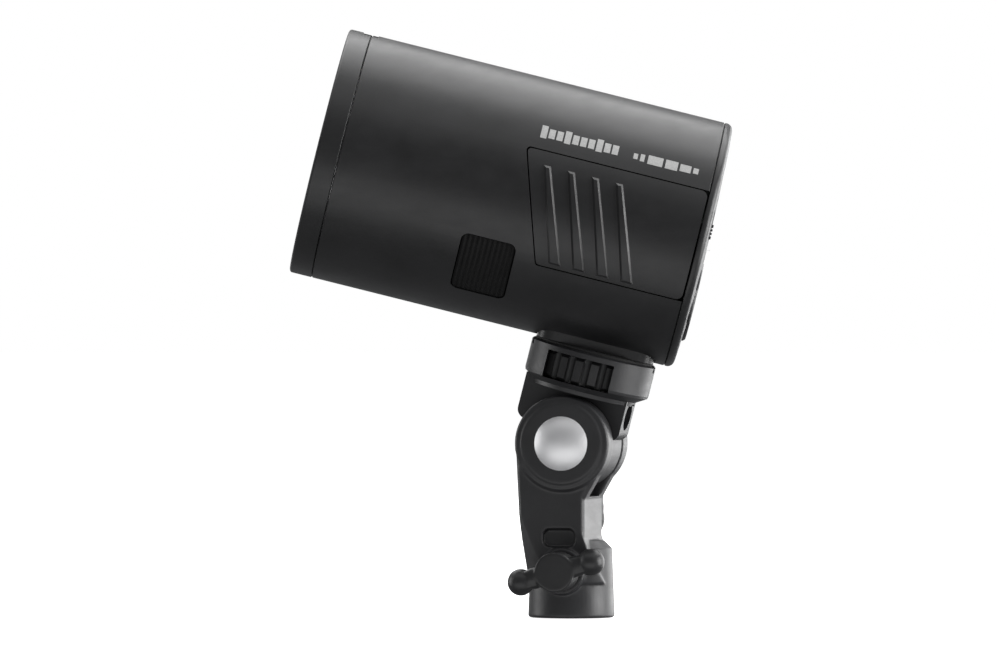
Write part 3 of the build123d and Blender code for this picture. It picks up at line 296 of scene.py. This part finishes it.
BLACK, CHARCOAL = (0.012, 0.012, 0.0125), (0.019, 0.019, 0.02)
FINISHES = {
    "casing": lambda: moulded_plastic("casing_plastic", BLACK, CHARCOAL, 0.36, 4200, 0.000018),
    "bracket": lambda: moulded_plastic("bracket_nylon", (0.016, 0.016, 0.017),
                                       (0.024, 0.024, 0.026), 0.42, 3000, 0.00003),
    "knob": lambda: moulded_plastic("knob_plastic", BLACK, CHARCOAL, 0.38, 3600, 0.00002),
    "rubber": lambda: soft_rubber("moulded_rubber", (0.010, 0.010, 0.010), (0.018, 0.018, 0.018)),
    "steel": lambda: turned_metal("zinc_steel", (0.45, 0.45, 0.46), (0.66, 0.66, 0.67), 0.32,
                                  (1, 0.15, 1)),
    "dome": lambda: spun_metal("bolt_dome", pivot, tilt_axis, (0.78, 0.78, 0.79),
                               (0.92, 0.92, 0.93), 0.46),
    "brass": lambda: turned_metal("turned_brass", (0.55, 0.38, 0.14), (0.76, 0.56, 0.26), 0.28,
                                  (1, 1, 0.2)),
    "nylon": lambda: moulded_plastic("natural_nylon", (0.55, 0.54, 0.5), (0.68, 0.67, 0.63), 0.5,
                                     1800, 0.00002),
    "lens": lambda: frosted_lens("frosted_cover"),
    "tube": lambda: quartz("quartz_tube"),
    "mirror_bowl": lambda: turned_metal("bright_bowl", (0.82, 0.82, 0.83), (0.93, 0.93, 0.93),
                                        0.12, (0.2, 1, 1), 500, 0.000004),
    "ceramic": lambda: moulded_plastic("ceramic", (0.68, 0.66, 0.6), (0.8, 0.78, 0.72), 0.6, 1500,
                                       0.00002),
    "board": lambda: circuit_board("board_mask"),
    "lamp": lambda: glossy_plastic("lamp_phosphor", (0.75, 0.62, 0.12), (0.9, 0.78, 0.25), 0.3,
                                   0.3),
    "capacitor": lambda: glossy_plastic("capacitor_sleeve", (0.01, 0.014, 0.04),
                                        (0.02, 0.025, 0.06), 0.25),
    "component": lambda: moulded_plastic("component_moulding", (0.015, 0.015, 0.015),
                                         (0.03, 0.03, 0.03), 0.5, 2500, 0.00002),
    "metal_can": lambda: turned_metal("tinned_can", (0.55, 0.55, 0.54), (0.72, 0.72, 0.7), 0.35,
                                      (1, 1, 0.3)),
    "display": lambda: glossy_plastic("display_glass", (0.006, 0.008, 0.007),
                                      (0.01, 0.013, 0.011), 0.12),
    "window": lambda: glossy_plastic("window_acrylic", (0.004, 0.004, 0.005),
                                     (0.007, 0.007, 0.008), 0.05, 0.6),
    "cells": lambda: glossy_plastic("cell_film", (0.10, 0.14, 0.22), (0.16, 0.2, 0.3), 0.3),
    "dial": lambda: moulded_plastic("dial_plastic", BLACK, CHARCOAL, 0.34, 4600, 0.000015),
    "keys": lambda: soft_rubber("key_silicone", (0.05, 0.05, 0.052), (0.07, 0.07, 0.072), 0.6),
    "test_key": lambda: glossy_plastic("test_key_plastic", (0.35, 0.015, 0.012),
                                       (0.5, 0.03, 0.02), 0.25, 0.3),
}
materials = {slot: make() for slot, make in FINISHES.items()}
ink = paint_print("grey_ink")
slot_of = {entry["node"]: entry["material_slot"] for entry in frame["record"]["subparts"]}
for name, node in nodes.items():
    node.data.materials.clear()
    node.data.materials.append(materials[slot_of[name]])


# the pad's dark and light colours are the painted shade of its rib troughs and crests
nodes["release_button"].data.materials[0] = ribbed_rubber("release_pad", (0.004, 0.004, 0.004),
                                                          (0.008, 0.008, 0.008), 1.5 * MM)


# ---------------------------------------------------------------- modelling helpers
def deselect_all():
    """Leave edit mode and select nothing."""
    if bpy.context.object and bpy.context.object.mode != "OBJECT":
        bpy.ops.object.mode_set(mode="OBJECT")
    bpy.ops.object.select_all(action="DESELECT")


def started(name):
    """The primitive just added, named."""
    piece = bpy.context.object
    piece.name = piece.data.name = name
    return piece


def pick(active, *others):
    """Select these pieces alone, the first of them active."""
    deselect_all()
    for piece in (active, *others):
        piece.select_set(True)
    bpy.context.view_layer.objects.active = active


def copied(node, name):
    """A copy of a CAD node with its own mesh."""
    pick(nodes[node])
    bpy.ops.object.duplicate()
    return started(name)


def with_modifier(piece, kind, **settings):
    """Add a modifier with these settings and apply it."""
    pick(piece)
    modifier = piece.modifiers.new(kind.lower(), kind)
    for key, value in settings.items():
        setattr(modifier, key, value)
    bpy.ops.object.modifier_apply(modifier=modifier.name)
    return piece


def settled(piece, place, body, slot, material=None, replaced=()):
    """Bake the piece's place into its mesh, give it its finish and its body."""
    pick(piece)
    piece.matrix_world = place @ piece.matrix_world
    bpy.ops.object.transform_apply(location=True, rotation=True, scale=True)
    piece.data.materials.clear()
    piece.data.materials.append(material or materials[slot])
    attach(piece, body)
    if replaced:
        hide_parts(*replaced)
    return piece


# ---------------------------------------------------------------- printed marks
INK_PROUD = 0.04 * MM       # above the surface printed on
INK_THICK = 0.06 * MM
INK_START = 1.0 * MM        # a patch starts this far off the surface and is pressed down


def printed(name, place, width, height, target, sides=0):
    """A thin patch of ink pressed onto a CAD surface: a bar, or a disc with that many sides.

    place takes the patch's own frame (X across, Y up, Z out of the surface) to the row frame."""
    deselect_all()
    if sides:
        bpy.ops.mesh.primitive_circle_add(vertices=sides, radius=0.5, fill_type="NGON")
    else:
        bpy.ops.mesh.primitive_plane_add(size=1)
    patch = started(name)
    patch.scale = (width, height, 1)
    bpy.ops.object.transform_apply(location=False, rotation=False, scale=True)
    bpy.ops.object.mode_set(mode="EDIT")
    bpy.ops.mesh.select_all(action="SELECT")
    if not sides:
        bpy.ops.mesh.subdivide(number_cuts=6)
    bpy.ops.object.mode_set(mode="OBJECT")
    patch.matrix_world = place
    bpy.ops.object.transform_apply(location=True, rotation=True, scale=True)
    with_modifier(patch, "SHRINKWRAP", target=target, wrap_method="PROJECT",
                  use_negative_direction=True, use_positive_direction=True, offset=INK_PROUD)
    with_modifier(patch, "SOLIDIFY", thickness=INK_THICK, offset=-1)
    return settled(patch, Matrix.Identity(4), "head", "casing", ink)


def beside(along, above):
    """The place of a mark on the near side of the head, facing straight out of the can."""
    angle = math.asin(above / HEAD_RADIUS)
    return (HEAD @ Matrix.Translation((along, 0, 0)) @ Matrix.Rotation(math.pi / 2 - angle, 4, "X")
            @ Matrix.Translation((0, 0, HEAD_RADIUS + INK_START)))


def behind(across, above):
    """The place of a mark on the rear cover, seen upright from behind."""
    turn = Matrix(((0, 0, 1), (1, 0, 0), (0, 1, 0))).to_4x4()
    return HEAD @ Matrix.Translation((HEAD_LENGTH + INK_START, across, above)) @ turn


BAR_START, BAR_STEP, BAR_WIDTH, BAR_BASE = 64.9, 2.44, 1.9, 22.4
BAR_HEIGHTS = (4.6, 3.4, 3.4, 4.6, 3.4, 3.4, 3.4, 4.6, 3.4, 3.4)
LINE_ABOVE = 22.5
LINES = (   # along the head from the front rim, length, height, in mm
    (93.2, 1.3, 2.0), (95.3, 1.3, 2.6), (99.3, 4.6, 3.2),
    (104.3, 3.8, 3.2), (108.6, 3.4, 2.6), (111.8, 1.6, 2.0),
)


def print_side_marks():
    """Plain pale bars of no meaning, in two groups. Taller bars of the first group rise higher."""
    shell = nodes["left_shell"]
    for index, height in enumerate(BAR_HEIGHTS):
        place = beside((BAR_START + BAR_STEP * index) * MM, (BAR_BASE + height / 8) * MM)
        printed(f"print_bar_{index + 1}", place, BAR_WIDTH * MM, height * MM, shell)
    for index, (along, length, height) in enumerate(LINES):
        place = beside(along * MM, LINE_ABOVE * MM)
        printed(f"print_line_{index + 1}", place, length * MM, height * MM, shell)


TICK_COUNT, TICK_START, TICK_STEP = 11, -150, 30    # degrees clockwise from the dial's top
TICK_RADIUS, TICK_WIDTH, TICK_LENGTH = 15.6 * MM, 0.5 * MM, 1.5 * MM
DIAL_ABOVE = -17 * MM
SIGNS = (   # across and above the head's axis, width, height in mm; sides of a disc, or 0 for a bar
    (-19.0, -4.4, 2.4, 0.5, 0), (-19.0, -3.4, 2.4, 0.5, 0),
    (18.0, -4.2, 1.1, 1.1, 20), (20.0, -4.2, 1.1, 1.1, 20),
    (-26.6, -19.5, 1.5, 1.5, 24),
    (26.4, -18.5, 1.8, 0.45, 0), (26.4, -19.5, 1.8, 0.45, 0), (26.4, -20.5, 1.8, 0.45, 0),
    (27.5, 13.2, 1.7, 1.7, 3),
    (-27.5, 15.0, 0.5, 2.0, 0), (-27.5, 0.6, 1.6, 1.6, 24),
)


def print_rear_marks():
    """Ticks round the dial and a simple sign by each key and the power switch."""
    cover = nodes["rear_cover"]
    for index in range(TICK_COUNT):
        angle = math.radians(TICK_START + TICK_STEP * index)
        place = behind(TICK_RADIUS * math.sin(angle), DIAL_ABOVE + TICK_RADIUS * math.cos(angle))
        place = place @ Matrix.Rotation(-angle, 4, "Z")
        printed(f"print_tick_{index + 1}", place, TICK_WIDTH, TICK_LENGTH, cover)
    for index, (across, above, width, height, sides) in enumerate(SIGNS):
        place = behind(across * MM, above * MM)
        printed(f"print_sign_{index + 1}", place, width * MM, height * MM, cover, sides)


# ---------------------------------------------------------------- moulded arm, knob and lever
EASE = 0.5      # how far each round of smoothing moves a point


def solid_rod(radius, start, end, at=(0, 0), vertices=64):
    """A rod along Y from start to end, at (x, z)."""
    bpy.ops.mesh.primitive_cylinder_add(
        vertices=vertices, radius=radius, depth=abs(end - start),
        location=(at[0], (start + end) / 2, at[1]), rotation=(math.pi / 2, 0, 0))
    return bpy.context.object


def solid_bar(x0, x1, y0, y1, z0, z1):
    """A square bar between these bounds."""
    bpy.ops.mesh.primitive_cube_add(
        size=1, location=((x0 + x1) / 2, (y0 + y1) / 2, (z0 + z1) / 2),
        scale=(x1 - x0, y1 - y0, z1 - z0))
    return bpy.context.object


def solid_ball(radius, centre, scale):
    """A ball stretched by scale."""
    bpy.ops.mesh.primitive_uv_sphere_add(segments=32, ring_count=16, radius=radius,
                                         location=centre, scale=scale)
    return bpy.context.object


def moulded(name, lumps, cell, rounds):
    """Fuse overlapping lumps into one skin and soften it, as a moulding is."""
    pick(*lumps)
    bpy.ops.object.join()
    piece = started(name)
    bpy.ops.object.transform_apply(location=True, rotation=True, scale=True)
    with_modifier(piece, "REMESH", mode="VOXEL", voxel_size=cell)
    with_modifier(piece, "SMOOTH", factor=EASE, iterations=rounds)
    bpy.ops.object.shade_smooth()
    return piece


FLOW_LOW, FLOW_HIGH = 9 * MM, 31 * MM           # where the waist flows into the socket
FLOW_LOW_RADIUS, FLOW_HIGH_RADIUS = 12.95 * MM, 18.4 * MM
FLOW_OUTSIDE = 40 * MM                          # well outside the waist
ARM_CELL = 0.36 * MM


def build_stand_arm():
    """The socket arm as moulded: edges eased all over, its waist flowing into the round socket."""
    tall, middle = FLOW_HIGH - FLOW_LOW, (0, 0, (FLOW_LOW + FLOW_HIGH) / 2)
    screw_height = joints["stand_lock_turn"]["pos_m"][2]
    arm = copied("stand_socket_arm", "stand_arm_moulding")
    deselect_all()
    bpy.ops.mesh.primitive_cylinder_add(vertices=96, radius=FLOW_OUTSIDE, depth=tall, location=middle)
    around = bpy.context.object
    bpy.ops.mesh.primitive_cone_add(vertices=160, radius1=FLOW_LOW_RADIUS, radius2=FLOW_HIGH_RADIUS,
                                    depth=tall + 0.002 * MM, location=middle)
    flow = bpy.context.object
    boss = solid_rod(LOCK_BOSS, -50 * MM, 0, (0, screw_height))
    for tool in (flow, boss):
        with_modifier(around, "BOOLEAN", operation="DIFFERENCE", object=tool, solver="EXACT")
    with_modifier(arm, "BOOLEAN", operation="DIFFERENCE", object=around, solver="EXACT")
    for tool in (flow, boss, around):
        bpy.data.objects.remove(tool)
    with_modifier(arm, "REMESH", mode="VOXEL", voxel_size=ARM_CELL)
    with_modifier(arm, "SMOOTH", factor=EASE, iterations=4)
    with_modifier(arm, "DECIMATE", ratio=0.5)
    bpy.ops.object.shade_smooth()
    settled(arm, Matrix.Identity(4), "stand_arm", "bracket", replaced=("stand_socket_arm",))


KNOB_HUB = 6.0 * MM
WING_FROM, WING_TO, WING_HALF = 2 * MM, 12 * MM, 2.6 * MM
WING_TIP, WING_TIP_AT = 4.1 * MM, 11.3 * MM
THUMB_PAD, THUMB_PAD_AT = 3.0 * MM, 6.6 * MM
WING_LEAN = math.radians(-16)


def build_stand_knob():
    """Wing screw of the stand socket: a hub and two wings that swell to their tips."""
    low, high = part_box("stand_lock_knob")
    near, far = high.y, low.y
    screw_height = joints["stand_lock_turn"]["pos_m"][2]
    tip_depth = (near + far) / 2 - 1.2 * MM
    deselect_all()
    lumps = [solid_rod(KNOB_HUB, near, far + 0.2 * MM)]
    for side in (-1, 1):
        root, end = sorted((side * WING_FROM, side * WING_TO))
        lumps.append(solid_bar(root, end, far + 0.8 * MM, near - 3.0 * MM, -WING_HALF, WING_HALF))
        lumps.append(solid_ball(WING_TIP, (side * WING_TIP_AT, tip_depth, 0), (1.0, 0.95, 1.0)))
        lumps.append(solid_ball(THUMB_PAD, (side * THUMB_PAD_AT, far + 2.2 * MM, 0), (1.3, 0.6, 1.1)))
    knob = moulded("stand_wing_knob", lumps, 0.34 * MM, 5)
    place = Matrix.Translation((0, 0, screw_height)) @ Matrix.Rotation(WING_LEAN, 4, "Y")
    settled(knob, place, "stand_lock", "knob", replaced=("stand_lock_knob",))


LEVER_HUB = 8.2 * MM
HANDLE_TIP = 4.4 * MM                               # the last ball's centre from the handle's end
HANDLE_ROOT_RADIUS, HANDLE_SWELL = 3.4, 0.8         # mm, and mm more at the end
HANDLE_STEPS = 7
SCALLOPS, SCALLOP_START, SCALLOP_STEP = 9, -110, 27.5   # degrees
SCALLOP_RADIUS, SCALLOP_AT = 1.0 * MM, 8.7 * MM


def build_tilt_lever():
    """Clamping lever: a scalloped hub and a handle that swells to its end."""
    low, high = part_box("tilt_lever")
    near, far = low.y, high.y
    reach = pivot.z - low.z
    deselect_all()
    lumps = [solid_rod(LEVER_HUB, near + 0.1 * MM, far - 0.3 * MM)]
    for index in range(HANDLE_STEPS + 1):
        share = index / HANDLE_STEPS
        radius = (HANDLE_ROOT_RADIUS + HANDLE_SWELL * share ** 2) * MM
        centre = (0, far - HANDLE_TIP, -(reach - HANDLE_TIP) * share)
        lumps.append(solid_ball(radius, centre, (1.0, 0.8, 1.25)))
    lever = moulded("tilt_clamp_lever", lumps, 0.4 * MM, 4)
    for index in range(SCALLOPS):
        angle = math.radians(SCALLOP_START + index * SCALLOP_STEP)
        deselect_all()
        tool = solid_rod(SCALLOP_RADIUS, near - 1 * MM, far + 1 * MM,
                         (SCALLOP_AT * math.sin(angle), SCALLOP_AT * math.cos(angle)), 24)
        with_modifier(lever, "BOOLEAN", operation="DIFFERENCE", object=tool, solver="EXACT")
        bpy.data.objects.remove(tool)
    settled(lever, Matrix.Translation(pivot), "tilt_lock", "knob", replaced=("tilt_lever",))
    bpy.ops.object.shade_smooth_by_angle(angle=math.radians(40))


def build_release_coil():
    """The release button's spring, copied from the CAD coil with a mesh of its own."""
    coil = copied("release_spring", "release_coil")
    settled(coil, Matrix.Identity(4), "head", "steel", replaced=("release_spring",))
    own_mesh(coil)


# ---------------------------------------------------------------- front cover glass
GLASS_RADIUS = 32.9 * MM
GLASS_FRONT, GLASS_BACK = 1.35 * MM, 3.2 * MM       # behind the front rim
STUD_ROWS, STUD_TALL = 44, 0.42 * MM
STUD_MARGIN = 1.6 * MM                              # plain edge of the disc
STUD_SINK = 0.02 * MM


def build_front_glass():
    """Flat clear disc with rows of small pyramids moulded on its back."""
    deselect_all()
    bpy.ops.mesh.primitive_cylinder_add(
        vertices=160, radius=GLASS_RADIUS, depth=GLASS_BACK - GLASS_FRONT,
        location=((GLASS_FRONT + GLASS_BACK) / 2, 0, 0), rotation=(0, math.pi / 2, 0))
    disc = started("front_glass")
    with_modifier(disc, "BEVEL", width=0.25 * MM, segments=3, limit_method="ANGLE")
    deselect_all()
    bpy.ops.mesh.primitive_grid_add(
        x_subdivisions=STUD_ROWS, y_subdivisions=STUD_ROWS, size=2 * GLASS_RADIUS,
        location=(GLASS_BACK - STUD_SINK, 0, 0), rotation=(0, math.pi / 2, 0))
    studs = started("front_glass_studs")
    bpy.ops.object.transform_apply(location=True, rotation=True, scale=True)
    for item in (*studs.data.vertices, *studs.data.edges):
        item.select = False
    for face in studs.data.polygons:
        face.select = math.hypot(face.center.y, face.center.z) > GLASS_RADIUS - STUD_MARGIN
    bpy.ops.object.mode_set(mode="EDIT")
    bpy.ops.mesh.select_mode(type="FACE")
    bpy.ops.mesh.delete(type="FACE")
    bpy.ops.mesh.select_all(action="SELECT")
    bpy.ops.mesh.poke(offset=STUD_TALL)
    bpy.ops.object.mode_set(mode="OBJECT")
    pick(disc, studs)
    bpy.ops.object.join()
    settled(disc, HEAD, "head", "lens", replaced=("front_lens",))


print_side_marks()
print_rear_marks()
build_stand_arm()
build_stand_knob()
build_tilt_lever()
build_release_coil()
build_front_glass()


# ---------------------------------------------------------------- studio
def soft_panel(name, middle, elevation, azimuth, span, length, radiance, distance=1.7):
    """A rectangular softbox facing middle. Elevation 0 is in front, 90 overhead, 180 behind."""
    e, a = math.radians(elevation), math.radians(azimuth)
    away = Vector((math.sin(a) * math.cos(e), -math.cos(a) * math.cos(e), math.sin(e)))
    data = bpy.data.lights.new(name, "AREA")
    data.shape = "RECTANGLE"
    data.size = length
    data.size_y = 2 * distance * math.tan(math.radians(span / 2))
    data.energy = radiance * math.pi * data.size * data.size_y
    light = bpy.data.objects.new(name, data)
    across = Vector((math.cos(a), math.sin(a), 0))
    turn = Matrix((across, away.cross(across), away)).transposed()
    light.matrix_world = Matrix.Translation(middle + away * distance) @ turn.to_4x4()
    light.visible_camera = False
    bpy.context.collection.objects.link(light)
    return light


def build_floor(level):
    """Pale seamless floor; it carries the contact shadow and doesn't light the object."""
    deselect_all()
    bpy.ops.mesh.primitive_plane_add(size=60, location=(0, 0, level))
    floor = started("floor")
    floor.visible_glossy = False
    floor.visible_diffuse = False
    floor.visible_shadow = False
    material, tree, shader = new_material("floor_paper")
    fibres = object_noise(tree, 40, 3, 0.5)
    coloured(tree, shader, fibres, (0.70, 0.70, 0.70), (0.72, 0.72, 0.72))
    shader.inputs["Roughness"].default_value = 1.0
    shader.inputs["Specular IOR Level"].default_value = 0.0
    shader.inputs["Emission Color"].default_value = (1, 1, 1, 1)
    shader.inputs["Emission Strength"].default_value = 0.88
    floor.data.materials.append(material)


FLOOR_GAP = 0.2 * MM
SOFTBOXES = (   # name, elevation, azimuth, span in degrees, length in metres, radiance
    ("over_back", 116, 0, 54, 3.2, 3.2),
    ("over_front", 66, 0, 46, 3.2, 0.75),
    ("front_low", -30, 0, 34, 3.0, 1.05),
    ("behind", 176, 0, 20, 3.4, 0.6),
    ("right_side", 4, 92, 40, 1.1, 8.0),
    ("right_back", 2, 146, 40, 1.3, 3.4),
    ("left_side", 6, -90, 36, 0.8, 3.2),
)


def studio():
    """Floor, softboxes and a room that is white to the camera and dim to the object."""
    low, high = cad_box
    middle = (low + high) / 2
    build_floor(low.z - FLOOR_GAP)
    for panel, elevation, azimuth, span, length, radiance in SOFTBOXES:
        soft_panel(panel, middle, elevation, azimuth, span, length, radiance)

    world = bpy.data.worlds.new("studio")
    bpy.context.scene.world = world
    world.use_nodes = True
    tree = world.node_tree
    room = tree.nodes["Background"]
    room.inputs["Color"].default_value = (0.97, 0.98, 1, 1)
    room.inputs["Strength"].default_value = 0.2
    seen = tree.nodes.new("ShaderNodeBackground")
    seen.inputs["Color"].default_value = (1, 1, 1, 1)
    seen.inputs["Strength"].default_value = 1.0
    ray = tree.nodes.new("ShaderNodeLightPath")
    mix = tree.nodes.new("ShaderNodeMixShader")
    tree.links.new(ray.outputs["Is Camera Ray"], mix.inputs["Fac"])
    tree.links.new(room.outputs["Background"], mix.inputs[1])
    tree.links.new(seen.outputs["Background"], mix.inputs[2])
    tree.links.new(mix.outputs["Shader"], tree.nodes["World Output"].inputs["Surface"])
    bpy.context.scene.view_settings.view_transform = "Standard"


CAMERA_AZIMUTH = math.radians(13)
CAMERA_DISTANCE = 2.4
FRAME_WIDTH = 304 * MM
AIM_ACROSS = -21.9 * MM
AIM_HEIGHT = 86.6 * MM


def camera():
    """Level view from in front, a little to the right."""
    data = bpy.data.cameras.new("camera")
    data.lens = data.sensor_width * CAMERA_DISTANCE / FRAME_WIDTH
    data.clip_start = 0.05
    data.clip_end = 50
    seen_from = bpy.data.objects.new("camera", data)
    right = Vector((math.cos(CAMERA_AZIMUTH), math.sin(CAMERA_AZIMUTH), 0))
    back = Vector((math.sin(CAMERA_AZIMUTH), -math.cos(CAMERA_AZIMUTH), 0))
    aim = right * AIM_ACROSS + Vector((0, 0, AIM_HEIGHT))
    seen_from.location = aim + back * CAMERA_DISTANCE
    seen_from.rotation_euler = (-back).to_track_quat("-Z", "Y").to_euler()
    bpy.context.collection.objects.link(seen_from)
    bpy.context.scene.camera = seen_from


studio()
camera()
